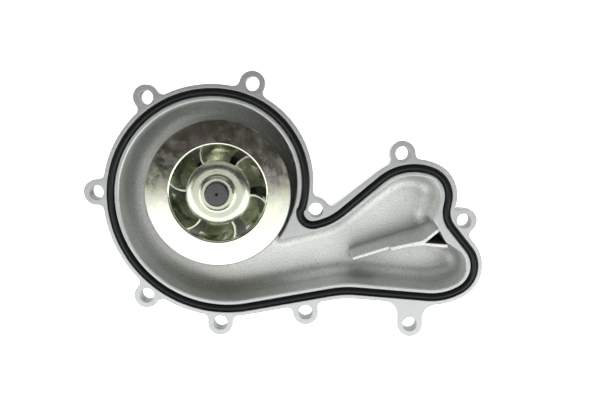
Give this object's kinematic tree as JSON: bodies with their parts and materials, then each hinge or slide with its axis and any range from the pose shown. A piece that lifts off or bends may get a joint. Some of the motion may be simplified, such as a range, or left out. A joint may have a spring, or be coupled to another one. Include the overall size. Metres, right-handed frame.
{
  "type": "water pump",
  "caption": "Engine coolant pump: cast scroll housing with bolt ears and a duct to a forked outlet, shrouded impeller, rubber flange seal and pulley hub.",
  "frame": {"origin": "where the shaft axis meets the plane of the engine mounting face", "axes": "+Z along the shaft towards the engine, +X along the outlet duct, +Y completes the frame; the part lies on its pulley hub, engine face up"},
  "size_m": [0.1965, 0.1314, 0.0992],
  "materials": {
    "cast_aluminium": "as cast, fine grained",
    "seal_rubber": "smooth moulded",
    "passivated_steel": "zinc plated with a yellow-green passivate",
    "shaft_steel": "ground, dark",
    "bearing_steel": "polished",
    "hub_steel": "turned and phosphated",
    "stainless_sheet": "deep drawn",
    "carbon": "lapped, dull",
    "ceramic": "lapped",
    "cage_nylon": "moulded",
    "cap_plastic": "moulded"
  },
  "bodies": {
    "housing_group": {"housing": "cast_aluminium", "flange_seal": "seal_rubber", "bearing_outer_race": "bearing_steel", "bearing_seal_front": "seal_rubber", "bearing_seal_rear": "seal_rubber", "seal_case": "stainless_sheet", "seal_bellows": "seal_rubber", "carbon_ring": "carbon", "spring_retainer": "stainless_sheet", "seal_spring": "stainless_sheet", "weep_cap": "cap_plastic"},
    "rotor": {"shaft": "shaft_steel", "impeller": "passivated_steel", "impeller_shroud": "passivated_steel", "seat_ring": "ceramic", "seat_cup": "seal_rubber", "slinger": "cap_plastic", "pulley_hub": "hub_steel"},
    "ball_set": {"bearing_balls": "bearing_steel", "ball_cage": "cage_nylon"},
    "roller_set": {"bearing_rollers": "bearing_steel", "roller_cage": "cage_nylon"}
  },
  "joints": [
    {"name": "rotor_spin", "type": "hinge", "parent": "housing_group", "child": "rotor", "pos_m": [0, 0, 0], "axis": [0, 0, 1], "continuous": true},
    {"name": "ball_orbit", "type": "hinge", "parent": "housing_group", "child": "ball_set", "pos_m": [0, 0, -0.051], "axis": [0, 0, 1], "continuous": true},
    {"name": "roller_orbit", "type": "hinge", "parent": "housing_group", "child": "roller_set", "pos_m": [0, 0, -0.07], "axis": [0, 0, 1], "continuous": true}
  ],
  "couplings": [
    {"joint": "ball_orbit", "follows": "rotor_spin", "ratio": 0.3585},
    {"joint": "roller_orbit", "follows": "rotor_spin", "ratio": 0.3783}
  ]
}
